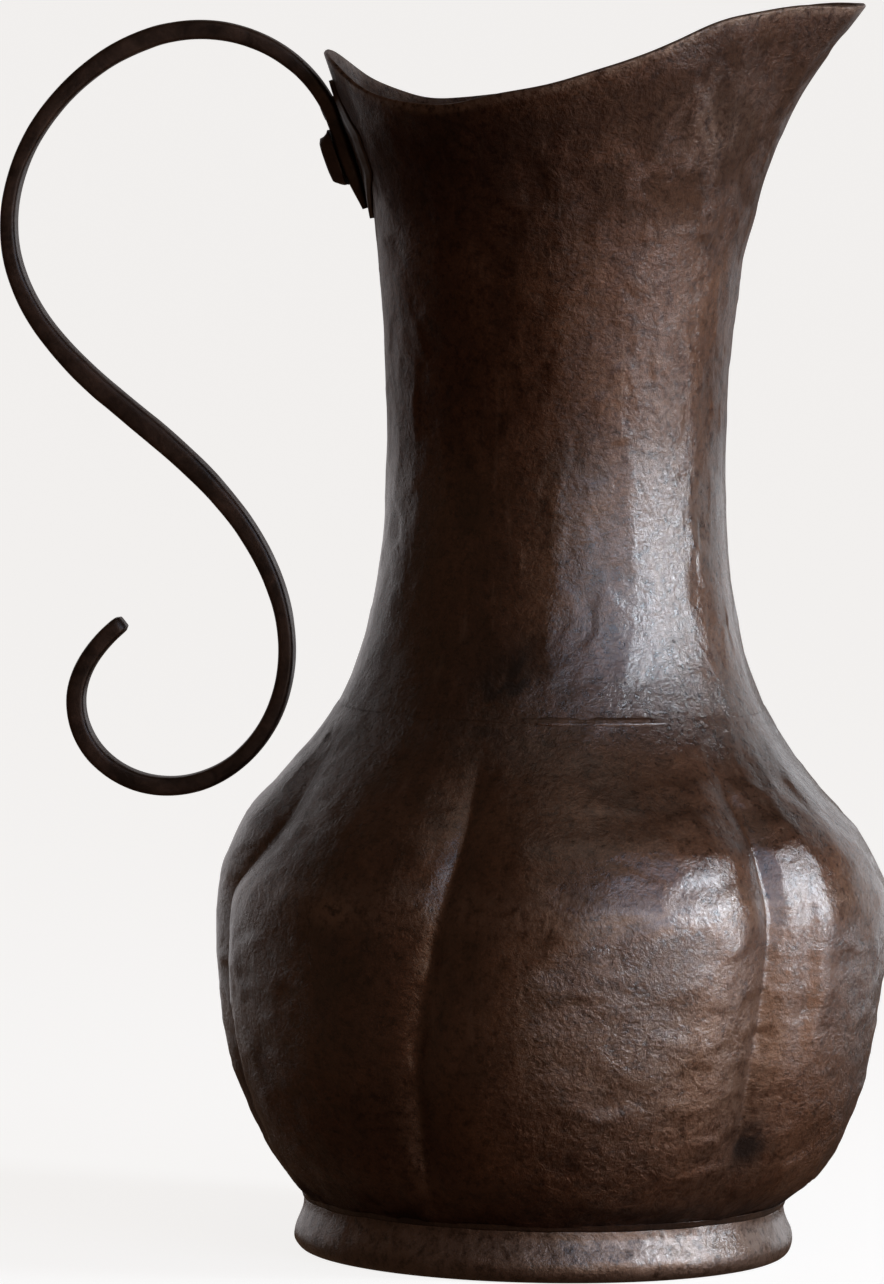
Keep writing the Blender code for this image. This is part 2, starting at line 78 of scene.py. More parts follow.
# How far the belly sits towards the spout at each height, (height, shift)
BELLY_SHIFT = (
    (0, 0), (13, 0), (22, 0.8), (35, 0.5), (48, 0), (66, 0), (90, 0.5), (103, 0.8), (115, 0),
    (132, 0),
)
LOBES = 6
LOBE_SWELL = 0.022
GROOVE_DEPTH = 0.055
GROOVE_HALF_WIDTH = math.radians(13)
GROOVE_POWER = 1.6
GROOVE_ROUNDING = math.radians(0.5)
CREASE_DEPTH = 0.006
CREASE_WIDTH = math.radians(2.2)
FIRST_GROOVE = math.radians(17)
FRONT_LOBE = math.radians(FRONT)
FRONT_WIDENS = 0.07
FRONT_NARROWS = 0.175
NARROWING = (84, 107)
# How far the two grooves in front stray from even spacing, in degrees by height
GROOVES_LEAN = ((0, -5.5), (30, -5.5), (48, -5), (88, -1.4), (110, -0.3), (134, -0.3))
GROOVES_PART = ((0, 3.2), (30, 3.2), (48, 3), (88, 1.2), (110, -0.3), (134, -0.3))
LOBES_FADE_OUT = (129.5, 103)
LOBES_START = (14.6, 48)
LOBES_START_POWER = 3
# The mesh: its columns crowd towards the grooves
BELLY_COLUMNS = 400
BELLY_ROWS = 186
BELLY_INNER_ROWS = 40
COLUMNS_TO_GROOVES = 0.55

# Neck: (height, radius) at the sides, the back and the spout
NECK_WAIST = (
    (125, 55.3), (128.5, 53.2), (132.3, 50.9), (137, 48.8), (148, 45), (161, 42.5), (176, 40.9),
    (191, 40.4), (209, 40.8), (226, 42), (239, 43.4),
)
SIDE_FLARE = NECK_WAIST + ((250, 44.7), (260, 46.4), (270, 49), (285, 53.4), (302, 58.3))
BACK_FLARE = NECK_WAIST + ((250, 44.8), (257, 46.2), (265, 49), (274, 52.4), (288, 57.7), (302, 63))
SPOUT_FLARE = NECK_WAIST + (
    (248, 45.8), (258, 48.2), (268, 51.9), (278, 56.8), (288, 63), (297, 69.9), (303, 74.2),
)
BACK_BEGINS = math.radians(60)
SPOUT_STARTS = 225
SPOUT_TOP = 300
SPOUT_NOSE_RADIUS = 10
RIM_LINE = (
    (-58, 287.4), (-48, 279.2), (-40, 276.1), (-28, 275.1), (-9, 277.9), (13, 284.1),
    (30, 290.7), (44, 296.6), (57, 299.2), (73, 299.4),
)
RIM_TRIES = 40
NECK_STARTS = 131.62
SKIRT_LEVELS = (126.5, 131.52)
SKIRT_INSET = 1.7
LIP_TURNS = (35, 70, 105, 145)
LIP_BULGE = 1.15
# The mesh: its columns crowd towards the spout
NECK_COLUMNS = 372
NECK_ROWS = 196
NECK_INNER_ROWS = 54
COLUMNS_TO_SPOUT = 0.45

# Braze between collar and neck: its two ends, how far its face lies under the walls before any marks
# are added, its back, and how much wider the collar gets for each millimetre down
SEAM_LEVELS = (130.9, 132.6)
SEAM_ROWS = 18
SEAM_UNDER = 0.09
SEAM_ENDS_UNDER = 0.2
SEAM_BACK = ((49.4, 132.4), (49.2, 131.8), (49.6, 131.0))
COLLAR_SLOPE = 0.61

# Foot ring, seen in section from its top down the outside, round the rolled edge and up inside
FOOT_SECTION = (
    (56.9, 13.4), (57.5, 12.9), (57.7, 11.6), (57.8, 10.4), (58.05, 9.4), (58.4, 8.4), (58.8, 7.4),
    (59.25, 6.3), (59.65, 5.1), (59.85, 3.9), (59.75, 2.6), (59.3, 1.3), (58.4, 0.35), (57.1, 0),
    (55.7, 0.05), (54.4, 0.7), (53.6, 1.8), (53.35, 3.1), (53.6, 4.4), (54.4, 5.4), (55.6, 6.2),
    (56.5, 7.2), (56.7, 9.0), (56.5, 11.4), (56.4, 12.9),
)

# Solder in the corner between belly and foot
SOLDER_SECTION = ((57.3, 12.7), (57.8, 13.1), (58.4, 13.7), (58.2, 13.1), (57.95, 12.4), (57.5, 12.0))

# Handle bar: where it leaves the neck, then its bend in degrees, thickness and width by length
HANDLE_LEAVES_AT = 271.5
BAR_BENDS = (
    (0, 1.82), (45, 1.52), (75, 0.96), (122, 1.58), (178, -0.22), (300, -2.5), (325, -3.28),
    (342, -1.31), (346, -1.31),
)
BAR_LENGTH = 346
BAR_THICKNESS = (
    (-23, 1.3), (-16, 3.2), (0, 3.5), (56, 4.7), (104, 3.8), (170, 5.5), (246, 3.9), (296, 4.6),
    (346, 4.2),
)
BAR_WIDTH = ((-23, 3), (-16, 8.4), (0, 8.6), (56, 7.6), (170, 8.6), (296, 7.6), (346, 6.8))
BAR_SEAT = 1.4
TONGUE = 23
BAR_SIDES = 28
BAR_SQUARENESS = 0.42
LEAF_HEIGHTS = (247.5, 280.5)
LEAF_HALF_WIDTH = 18
LEAF_TIP = 1.4
LEAF_THICKNESS = 1.2
LEAF_FULLNESS = 0.9
LEAF_ROWS = 44
LEAF_COLUMNS = 30
SQUARE_RIVET_AT = 263.6
FLUSH_RIVET_AT = 275.2
RIVETS_AT_LENGTH = -8
RIVET_SIDES = 40
SLOPE_STEP = 0.2
TO_SIDE = np.array([0.0, 1.0, 0.0])

# Rivets, as rings of (half length, half width, squareness, distance), where a head's distances are
# from the bar's face and the peened end's are from the neck's wall
SQUARE_HEAD = (
    (0.6, 0.5, 0.5, 3.5), (3.4, 2.6, 0.5, 3.45), (4.9, 3.8, 0.42, 3.2), (5.6, 4.3, 0.38, 2.7),
    (6.1, 4.7, 0.34, 1.7), (6.6, 5.1, 0.34, 0.9), (6.9, 5.4, 0.36, 0.35), (6.8, 5.3, 0.4, 0.05),
    (2, 2, 1, 0),
)
FLUSH_HEAD = ((0.5, 0.5, 1, 0.25), (2, 2, 1, 0.22), (3, 3, 1, 0.1), (3.4, 3.4, 1, -0.1), (2, 2, 1, 0))
PEENED_END = (
    (2, 2, 1, -2.6), (3.3, 3.3, 1, -2.9), (3.4, 3.4, 1, -3.4), (3, 3, 1, -4.1), (1.6, 1.6, 1, -4.6),
    (0.5, 0.5, 1, -4.7),
)

# The copper's colours: sooty black that also paints shade, the patina's dark, middle and light browns, and
# rubbed metal that also paints highlights
COPPER_TONES = (
    (0.02, 0.010, 0.006), (0.046, 0.016, 0.007), (0.084, 0.030, 0.013), (0.138, 0.058, 0.028),
    (0.21, 0.130, 0.090),
)
FOOT_TONES = (
    (0.02, 0.010, 0.006), (0.045, 0.02, 0.011), (0.08, 0.040, 0.025), (0.13, 0.076, 0.052),
    (0.22, 0.150, 0.115),
)
WAX_IOR = 1.75
GRAIN_DEPTH = 0.0009
SCALE_DEPTH = 0.0004

# Lights: name, turn and rise in degrees, distance, (width, height), radiance and colour
ROOM_LIGHTS = (
    ("window_top", -10, 11.5, 1.0, (0.19, 0.39), 29.0, (0.80, 0.90, 1.0)),
    ("window_low", -4, -10, 1.0, (0.32, 0.24), 4.0, (0.78, 0.88, 1.0)),
    ("side_top", -45, 6, 1.1, (0.75, 0.28), 2.4, (0.86, 0.92, 1.0)),
    ("side_low", -50, -12, 1.1, (0.8, 0.24), 0.6, (1.0, 0.82, 0.66)),
    ("sky", -46, 22, 1.2, (0.75, 0.40), 2.4, (0.46, 0.68, 1.0)),
    ("front_glow", -70, 8, 1.5, (0.5, 0.7), 0.5, (1.0, 0.74, 0.54)),
    ("ceiling", -62, 58, 1.3, (0.9, 0.8), 0.3, (1.0, 0.88, 0.76)),
)
# The same for the lights that reach only the jug
JUG_LIGHTS = (
    ("table_glow", -35, -22, 0.38, (0.5, 0.12), 0.9, (1.0, 0.58, 0.36)),
    ("room_right", 62, 8, 1.3, (0.8, 0.9), 0.9, (0.92, 0.95, 1.0)),
    ("room_behind", 119, 6, 1.4, (1.6, 0.9), 0.42, (0.94, 0.95, 1.0)),
)
LIGHTS_AIM = 0.15
WORLD_GLOW = ((1.0, 0.58, 0.36, 1), 0.07)

# Stage: a flat floor and the curve of its cove, in metres
FLOOR_RADIUS = 5
COVE_RADIUS = 2.5
COVE_STEPS = 30
STAGE_SIDES = 64
BELOW_FOOT = 0.02

# Camera, in metres and degrees
SENSOR_HEIGHT = 36
LENS = 255.6
CAMERA_DISTANCE = 2.18
CAMERA_HEIGHT = 0.314
CAMERA_ROLL = 0.93
AIM_HEIGHT = 0.1462
AIM_LEFT = 0.02666


# Curves and relief


def curve_values(knots, x):
    """The smooth curve through the knots, at each x: cubic pieces that share their slopes."""
    xs, ys = np.array(knots, float).T
    slopes = np.gradient(ys, xs)
    x = np.asarray(x, float)
    i = np.clip(np.searchsorted(xs, x) - 1, 0, len(xs) - 2)
    span = xs[i + 1] - xs[i]
    t = (x - xs[i]) / span
    start = ys[i] * (1 + 2 * t) + span * slopes[i] * t
    end = ys[i + 1] * (3 - 2 * t) - span * slopes[i + 1] * (1 - t)
    return start * (1 - t) ** 2 + end * t**2


def ease(start, end, x):
    """0 at start, 1 at end, and smooth between."""
    t = np.clip((np.asarray(x, float) - start) / (end - start), 0, 1)
    return t * t * (3 - 2 * t)


def smooth_path(points, count):
    """count points evenly along the smooth curve through the given ones."""
    points = np.array(points, float)
    lengths = np.append(0, np.cumsum(np.linalg.norm(np.diff(points, axis=0), axis=1)))
    at = np.linspace(0, lengths[-1], count)
    return np.stack([curve_values(np.stack([lengths, c], 1), at) for c in points.T], 1)


def hammer_marks(across, along, around, seed, tilt, hollow=0.0, level=0.3, crisp=7.0):
    """Relief of overlapping hammer marks, where across and along count marks.

    across wraps round after `around` marks. Each mark is a small facet with its own level, tilt
    and hollow, and its neighbours blend into it. The result is about 1 high where tilt is 1. The
    pattern follows the span of along as well as the seed, so another span gives other marks."""
    rng = np.random.default_rng(seed)
    lowest = int(np.floor(along.min())) - 1
    rows = int(np.ceil(along.max())) - lowest + 2
    shift_a, shift_b = rng.uniform(-0.34, 0.34, (2, rows, around))
    tilt_a, tilt_b = rng.normal(0, tilt, (2, rows, around))
    heights = rng.normal(0, level, (rows, around))
    cell_a = np.floor(across).astype(int)
    cell_b = np.floor(along).astype(int)
    total = np.zeros(np.broadcast(across, along).shape)
    weights = np.zeros_like(total)
    for step_a in (-1, 0, 1):
        for step_b in (-1, 0, 1):
            i = (cell_a + step_a) % around
            j = np.clip(cell_b + step_b - lowest, 0, rows - 1)
            far_a = across - (cell_a + step_a + 0.5 + shift_a[j, i])
            far_b = along - (cell_b + step_b + 0.5 + shift_b[j, i])
            away = far_a**2 + far_b**2
            weight = np.exp(-crisp * away)
            facet = heights[j, i] + tilt_a[j, i] * far_a + tilt_b[j, i] * far_b + hollow * away
            total += weight * facet
            weights += weight
    return total / np.maximum(weights, 1e-9)


def collar_marks(turn, height):
    """Marks near the joint of collar and neck, in millimetres. The belly, the braze and the neck span
    different heights, so each gets its own pattern, and they step at the joint by up to 0.4."""
    share = (turn % math.tau) / math.tau
    broad = hammer_marks(share * 11, height / 30, 11, 51, 0.3, level=0.35, crisp=3)
    blows = hammer_marks(share * 34, height / 10, 34, 52, 0.5, 0.4, 0.2, 9)
    facets = hammer_marks(share * 70, height / 6, 70, 53, 0.5, 0.3, 0.3, 12)
    reach = ease(114, 126, height) * ease(152, 140, height)
    return reach * (0.4 * broad + 0.3 * blows + 0.14 * facets)


def blob(across, along, middle, size):
    """1 in the middle of an oval spot and 0 outside it."""
    far = ((across - middle[0]) / size[0]) ** 2 + ((along - middle[1]) / size[1]) ** 2
    return np.exp(-far)


def angle_from(turn, middle):
    """Turn measured from a middle direction, in degrees, from -180 to 180."""
    return (np.degrees(turn) - middle + 180) % 360 - 180


# Meshes


def grid_normals(points):
    """Unit outward normals of a grid of points that closes on itself across its columns."""
    around = np.roll(points, -1, 1) - np.roll(points, 1, 1)
    along = np.gradient(points, axis=0)
    normals = np.cross(around, along)
    normals /= np.maximum(np.linalg.norm(normals, axis=2, keepdims=True), 1e-12)
    facing = (normals * points)[..., :2].sum()
    return normals if facing > 0 else -normals


def make_mesh(name, rows, closed=False, poles=False, layers=None):
    """A mesh from rows of points round the axis. closed joins the last row to the first, and
    poles ends the first and last rows each in a point. layers holds named values per point."""
    count, columns = rows.shape[:2]
    points = rows.reshape(-1, 3)
    i = np.arange(columns)
    j = (i + 1) % columns
    quads = []
    for k in range(count if closed else count - 1):
        low = k * columns
        high = ((k + 1) % count) * columns
        quads.append(np.stack([low + i, low + j, high + j, high + i], 1))
    faces = [tuple(quad) for quad in np.concatenate(quads).tolist()]
    if poles:
        points = np.vstack([points, rows[0].mean(0), rows[-1].mean(0)])
        first, last = len(points) - 2, len(points) - 1
        end = (count - 1) * columns
        faces += [(first, b, a) for a, b in zip(i.tolist(), j.tolist())]
        faces += [(last, end + a, end + b) for a, b in zip(i.tolist(), j.tolist())]
    mesh = bpy.data.meshes.new(name)
    mesh.from_pydata((points * MM).tolist(), [], faces)
    for layer, values in (layers or {}).items():
        flat = np.ravel(values)
        flat = np.append(flat, np.full(len(points) - len(flat), flat[-1]))
        mesh.attributes.new(layer, "FLOAT", "POINT").data.foreach_set("value", flat.astype(np.float32))
    mesh.transform(TO_AXIS)
    mesh.validate()
    fix_facing(mesh)
    mesh.shade_smooth()
    mesh.set_sharp_from_angle(angle=SHARP_ABOVE)
    return mesh


def fix_facing(mesh):
    """Turns the faces outward: a closed mesh has a positive volume."""
    points = np.empty(len(mesh.vertices) * 3)
    mesh.vertices.foreach_get("co", points)
    points = points.reshape(-1, 3)
    mesh.calc_loop_triangles()
    corners = np.empty(len(mesh.loop_triangles) * 3, int)
    mesh.loop_triangles.foreach_get("vertices", corners)
    a, b, c = (points[corners.reshape(-1, 3)[:, k]] for k in range(3))
    if (a * np.cross(b, c)).sum() < 0:
        mesh.flip_normals()


def add_piece(name, mesh, finish, replaced):
    piece = bpy.data.objects.new(name, mesh)
    bpy.context.scene.collection.objects.link(piece)
    mesh.materials.append(finish)
    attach(piece, "root")
    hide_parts(*replaced)
    return piece


# Materials


class Finish:
    """A material being put together: its nodes, the shader and the point in space."""

    def __init__(self, name):
        self.material = bpy.data.materials.new(name)
        self.material.use_nodes = True
        self.tree = self.material.node_tree
        self.shader = self.tree.nodes["Principled BSDF"]
        self.place = self.node("ShaderNodeTexCoord").outputs["Object"]

    def node(self, kind, settings=(), **sockets):
        made = self.tree.nodes.new(kind)
        for key, value in dict(settings).items():
            setattr(made, key, value)
        for key, value in sockets.items():
            self.put(made.inputs[key.replace("_", " ")], value)
        return made

    def put(self, socket, value):
        if isinstance(value, bpy.types.NodeSocket):
            self.tree.links.new(value, socket)
        elif isinstance(value, tuple) and len(value) == 3 and socket.type == "RGBA":
            socket.default_value = (*value, 1)
        else:
            socket.default_value = value

    def noise(self, scale, detail=4.0, roughness=0.6, stretch=(1, 1, 1), distortion=0.0):
        place = self.node("ShaderNodeMapping", Vector=self.place, Scale=stretch).outputs["Vector"]
        made = self.node(
            "ShaderNodeTexNoise", Vector=place, Scale=scale, Detail=detail, Roughness=roughness,
            Distortion=distortion,
        )
        return made.outputs["Fac"]

    def math(self, operation, first, second=0.0, clamp=False):
        made = self.node("ShaderNodeMath", {"operation": operation, "use_clamp": clamp})
        self.put(made.inputs[0], first)
        self.put(made.inputs[1], second)
        return made.outputs[0]

    def spread(self, value, low, high, to_low=0.0, to_high=1.0):
        made = self.node(
            "ShaderNodeMapRange", {"interpolation_type": "SMOOTHSTEP"}, Value=value, From_Min=low,
            From_Max=high, To_Min=to_low, To_Max=to_high,
        )
        return made.outputs["Result"]

    def mix(self, share, first, second, blend="MIX"):
        made = self.node("ShaderNodeMix", {"data_type": "RGBA", "blend_type": blend})
        self.put(made.inputs[0], share)
        self.put(made.inputs[6], first)
        self.put(made.inputs[7], second)
        return made.outputs[2]

    def ramp(self, value, *stops):
        made = self.node("ShaderNodeValToRGB", Fac=value)
        elements = made.color_ramp.elements
        while len(elements) < len(stops):
            elements.new(0.5)
        for element, (position, colour) in zip(elements, stops):
            element.position = position
            element.color = (*colour, 1)
        return made.outputs["Color"]

    def times(self, first, second, clamp=False):
        return self.math("MULTIPLY", first, second, clamp)

    def plus(self, first, second, clamp=False):
        return self.math("ADD", first, second, clamp)

    def minus(self, first, second, clamp=False):
        return self.math("SUBTRACT", first, second, clamp)

    def darken(self, share, colour, pattern):
        return self.mix(share, colour, pattern, "MULTIPLY")

    def bump(self, strength, distance, height):
        made = self.node("ShaderNodeBump", Strength=strength, Distance=distance, Height=height)
        return made.outputs["Normal"]

    def layer(self, name):
        """A value that the mesh holds at each of its points."""
        return self.node("ShaderNodeAttribute", {"attribute_name": name}).outputs["Fac"]

    def set(self, **sockets):
        for key, value in sockets.items():
            self.put(self.shader.inputs[key.replace("_", " ")], value)


def copper_browns(finish, tones, blotches, flecks, creases):
    """The patina's colour: cloudy browns under dust and dark speckles, and painted shade darkening the
    creases of the fine relief.
    """
    dark, middle, light = tones
    clouds = finish.noise(17, 5, 0.55, (1, 1, 0.55), 0.4)
    tone = finish.plus(finish.times(clouds, 0.5), finish.times(blotches, 0.5))
    colour = finish.ramp(tone, (0.39, dark), (0.5, middle), (0.61, light))
    dust = finish.ramp(
        finish.noise(1500, 2, 0.8), (0.34, (0.55, 0.53, 0.52)), (0.52, (0.95, 0.95, 0.95)),
        (0.68, (1.3, 1.28, 1.25)),
    )
    speckle = finish.ramp(
        flecks, (0.36, (0.45, 0.42, 0.4)), (0.5, (0.95, 0.95, 0.95)), (0.66, (1.0, 1.0, 1.0)),
    )
    # Painted shade: darker in the low parts of the crease pattern that the bump also uses.
    crease_shade = finish.ramp(creases, (0.38, (0.42, 0.38, 0.36)), (0.52, (1.0, 1.0, 1.0)))
    colour = finish.darken(0.85, finish.darken(0.8, colour, dust), speckle)
    return finish.darken(finish.times(finish.layer("grain"), 0.9, True), colour, crease_shade)


def patinated_copper(name, tones, gloss, coat):
    """Brown copper under wax: patina, streaks, rubbed metal and painted highlights, sooty darkening and
    painted shade, and a fine hammered grain.
    """
    finish = Finish(name)
    soot_and_shade_tone, *browns, worn_and_highlight = tones
    blotches = finish.noise(75, 6, 0.62, (1, 1, 0.8), 0.5)
    flecks = finish.noise(460, 5, 0.7)
    creases = finish.noise(260, 5, 0.62, (1, 1, 1.15), 0.8)
    scratches = finish.noise(240, 3, 0.6, (1, 1, 0.09))
    # Lighter where rubbed, which also paints highlights; darker where sooty, which also paints shade.
    wear_and_highlight = finish.times(finish.layer("wear_and_highlight"), finish.spread(flecks, 0.3, 0.6), True)
    streaks = finish.times(finish.spread(scratches, 0.6, 0.74), 0.25)
    soot_and_shade = finish.times(finish.layer("soot_and_shade"), finish.spread(blotches, 0.42, 0.56, 0.3, 1.0), True)
    colour = copper_browns(finish, browns, blotches, flecks, creases)
    colour = finish.mix(finish.plus(wear_and_highlight, streaks, True), colour, worn_and_highlight)
    rough = finish.spread(blotches, 0.3, 0.7, *gloss)
    rough = finish.plus(rough, finish.times(soot_and_shade, 0.16), True)
    fine = finish.noise(900, 5, 0.75, (1, 1, 1.1), 0.4)
    relief = finish.plus(finish.times(fine, 0.7), creases)
    grain = finish.layer("grain")
    wax, wax_roughness = coat
    waxed = finish.times(finish.layer("wax"), wax)
    finish.set(
        Base_Color=finish.mix(soot_and_shade, colour, soot_and_shade_tone),
        Roughness=finish.minus(rough, finish.times(wear_and_highlight, 0.08), True),
        Metallic=finish.minus(0.88, finish.times(soot_and_shade, 0.1)),
        Normal=finish.bump(grain, GRAIN_DEPTH, relief),
        Coat_Normal=finish.bump(finish.times(grain, 0.65), GRAIN_DEPTH, relief),
        Coat_Weight=finish.minus(waxed, finish.times(soot_and_shade, 0.6), True),
        Coat_Roughness=wax_roughness, Coat_IOR=WAX_IOR,
    )
    return finish.material


def forged_iron(name, dark, light, coat):
    """Black-brown forge scale with rubbed, browner patches."""
    finish = Finish(name)
    scale = finish.noise(120, 6, 0.65, distortion=0.6)
    flecks = finish.noise(700, 4, 0.7)
    colour = finish.ramp(scale, (0.36, dark), (0.66, light))
    speckle = finish.ramp(flecks, (0.3, (0.5, 0.5, 0.5)), (0.6, (1, 1, 1)))
    relief = finish.plus(finish.times(flecks, 0.5), scale)
    finish.set(
        Base_Color=finish.darken(0.7, colour, speckle),
        Roughness=finish.spread(scale, 0.3, 0.7, 0.42, 0.62),
        Normal=finish.bump(0.5, SCALE_DEPTH, relief),
        Metallic=0.55, Coat_Weight=coat, Coat_Roughness=0.3,
    )
    return finish.material


# Belly


def lobe_cut(phase):
    """How deep the wall is drawn in between two lobes, as a share of the radius, and the groove alone."""
    spacing = math.tau / LOBES
    away = np.abs((phase - FIRST_GROOVE + spacing / 2) % spacing - spacing / 2)
    soft = np.sqrt(away**2 + GROOVE_ROUNDING**2)
    groove = np.maximum(1 - soft / GROOVE_HALF_WIDTH, 0) ** GROOVE_POWER
    crease = np.exp(-((away / CREASE_WIDTH) ** 2))
    swell = LOBE_SWELL * (1 + np.cos(LOBES * away)) / 2
    return GROOVE_DEPTH * groove + swell + CREASE_DEPTH * crease, groove


def lobe_strength(height):
    start, full = LOBES_START
    above_foot = np.clip((height - start) / (full - start), 0, 1)
    return ease(*LOBES_FADE_OUT, height) * (1 - (1 - above_foot) ** LOBES_START_POWER)


def belly_surface(line, phase):
    """Points of the belly's outside, each one's turn round the axis and how deep in a groove it is."""
    radius, height = line[:, :1], line[:, 1:]
    shift = curve_values(BELLY_SHIFT, height)
    away = phase - FRONT_LOBE
    sides = FRONT_WIDENS - ease(*NARROWING, height) * (FRONT_WIDENS + FRONT_NARROWS)
    lean = np.radians(curve_values(GROOVES_LEAN, height))
    part = (np.radians(curve_values(GROOVES_PART, height)) + sides) / 1.5
    turn = phase + lean * np.cos(away) + part * np.sin(away) + (part - sides) * np.sin(3 * away)
    cut, groove = lobe_cut(phase)
    reach = radius * (1 - lobe_strength(height) * cut)
    points = np.stack([shift + reach * np.cos(turn), reach * np.sin(turn), height + 0 * turn], 2)
    return points, turn, groove * lobe_strength(height)


def belly_relief(phase, run, height, turn):
    """Hammer marks: broad planishing, ordinary blows and small pecks, in millimetres."""
    share = phase / math.tau
    broad = hammer_marks(share * 15, run / 34, 15, 11, 0.25, level=0.35, crisp=3)
    blows = hammer_marks(share * 44, run / 9, 44, 12, 0.5, 0.5, 0.2, 11)
    pecks = hammer_marks(share * 110, run / 4.2, 110, 13, 0.45, 0.3, 0.3, 11)
    low = ease(86, 76, height)
    fade = ease(8.5, 14, height) * ease(126, 114, height)
    marks = 0.5 * broad + (0.38 + 0.2 * low) * blows + (0.07 + 0.12 * low) * pecks
    fold = np.exp(-(((angle_from(turn, FRONT) - 38) / 1.8) ** 2))
    fold *= ease(45, 60, height) * ease(97, 90, height)
    return fade * (marks - 0.7 * fold) + collar_marks(turn, height)


def belly_soot_and_shade(turn, height, groove):
    front = angle_from(turn, FRONT)
    # Darker towards the bottom: painted shade on the underside, partly sooty too; and darker towards the
    # collar joint.
    soot_and_shade = 0.95 * ease(23, 13, height) + 0.25 * ease(112, 130, height)
    soot_and_shade += 0.55 * ease(112, 131, height) * blob(front, height, (-26, 127), (14, 16))
    # Darker in the grooves low on the belly.
    soot_and_shade += 0.45 * groove * ease(70, 25, height)
    return soot_and_shade + 0.9 * blob(angle_from(turn, -42), height, (0, 33), (5, 6))


def belly_wear_and_highlight(turn, height):
    front = angle_from(turn, FRONT)
    wear_and_highlight = 0.12 + 0.35 * ease(98, 90, height) * ease(80, 90, height)
    wear_and_highlight += 0.5 * blob(front, height, (0, 60), (26, 26))
    wear_and_highlight += 0.5 * blob(front, height, (22, 50), (16, 22))
    # Painted reflection: a narrow light streak low down by the left groove.
    wear_and_highlight += 0.8 * blob(front, height, (-39, 32), (2.5, 11))
    return wear_and_highlight + 0.8 * blob(front, height, (-52, 87), (4, 3.5))


def belly_grain(phase, run, height, turn):
    """Fine roughness: coarser below the shoulder, where it wasn't planished, but not by the grooves."""
    front = angle_from(turn, FRONT)
    uneven = 5 * hammer_marks(phase / math.tau * 60, run / 7, 60, 14, 0.5, level=0.6, crisp=5)
    low = ease(84, 76, height + uneven)
    off_groove = np.abs((phase + math.pi / LOBES) % (math.tau / LOBES) - math.pi / LOBES)
    polished = ease(0.4, 0.16, off_groove)
    grain = 0.36 + 0.2 * ease(-20, -60, front) + 0.55 * low * (0.5 + 0.5 * ease(-40, 0, front))
    return grain * (1 - 0.5 * polished * low) + 0.2 * ease(118, 130, height)


def make_belly(copper):
    line = smooth_path(BELLY_LINE, BELLY_ROWS)
    run = np.append(0, np.cumsum(np.linalg.norm(np.diff(line, axis=0), axis=1)))[:, None]
    even = (math.tau * np.arange(BELLY_COLUMNS) / BELLY_COLUMNS)[None, :]
    phase = FIRST_GROOVE + even - COLUMNS_TO_GROOVES * np.sin(LOBES * even) / LOBES
    from_groove = (phase - FIRST_GROOVE) + 0 * run
    smooth, turn, groove = belly_surface(line, phase)
    normals = grid_normals(smooth)
    height = smooth[..., 2]
    relief = belly_relief(from_groove, run + 0 * from_groove, height, turn)
    outer = smooth + normals * relief[..., None]
    picked = np.unique(np.linspace(0, BELLY_ROWS - 1, BELLY_INNER_ROWS).round().astype(int))
    inner = outer[picked] - normals[picked] * SHEET
    values = {
        "soot_and_shade": belly_soot_and_shade(turn, height, groove),
        "wear_and_highlight": belly_wear_and_highlight(turn, height),
        "grain": belly_grain(from_groove, run, height, turn),
        "wax": 1 - 0.6 * ease(62, 34, height),
    }
    layers = {name: np.vstack([value[::-1], value[picked]]) for name, value in values.items()}
    mesh = make_mesh("belly_hammered", np.vstack([outer[::-1], inner]), poles=True, layers=layers)
    add_piece("belly_hammered", mesh, copper, ["belly_shell"])


# Neck


def neck_radius(turn, height):
    """Radius of the neck's outside: round at the back and pulled into a nose at the spout."""
    away = np.abs(turn)
    side = curve_values(SIDE_FLARE, height)
    back = curve_values(BACK_FLARE, height)
    round_part = side + ease(BACK_BEGINS, math.pi, away) * (back - side)
    front = curve_values(SPOUT_FLARE, height)
    pulled = np.clip((height - SPOUT_STARTS) / (SPOUT_TOP - SPOUT_STARTS), 0, 1)
    nose = round_part + (SPOUT_NOSE_RADIUS - round_part) * pulled
    centre = np.maximum(front - nose, 1e-6)
    tangent = np.arccos(np.clip((round_part - nose) / centre, -1, 1))
    nose_end = np.arctan2(nose * np.sin(tangent), centre + nose * np.cos(tangent))
    straight = round_part / np.maximum(np.cos(tangent - away), 0.2)
    across = centre * np.sin(turn)
    nosed = centre * np.cos(turn) + np.sqrt(np.maximum(nose**2 - across**2, 0))
    spout = np.where(away >= nose_end, straight, nosed)
    plain = (pulled <= 0) | (front <= round_part) | (away >= tangent)
    return np.where(plain, round_part, spout)


def rim_heights(turn):
    """Height of the rim, found by stepping until the wall's reach and the rim line agree."""
    height = np.full(np.shape(turn), float(SPOUT_TOP))
    for _ in range(RIM_TRIES):
        reach = neck_radius(turn, np.minimum(height, SPOUT_TOP)) * np.cos(turn)
        height = curve_values(RIM_LINE, reach)
    return height


def neck_surface(turn, height):
    radius = neck_radius(turn, height)
    return np.stack([radius * np.cos(turn), radius * np.sin(turn), height + 0 * turn], 2)


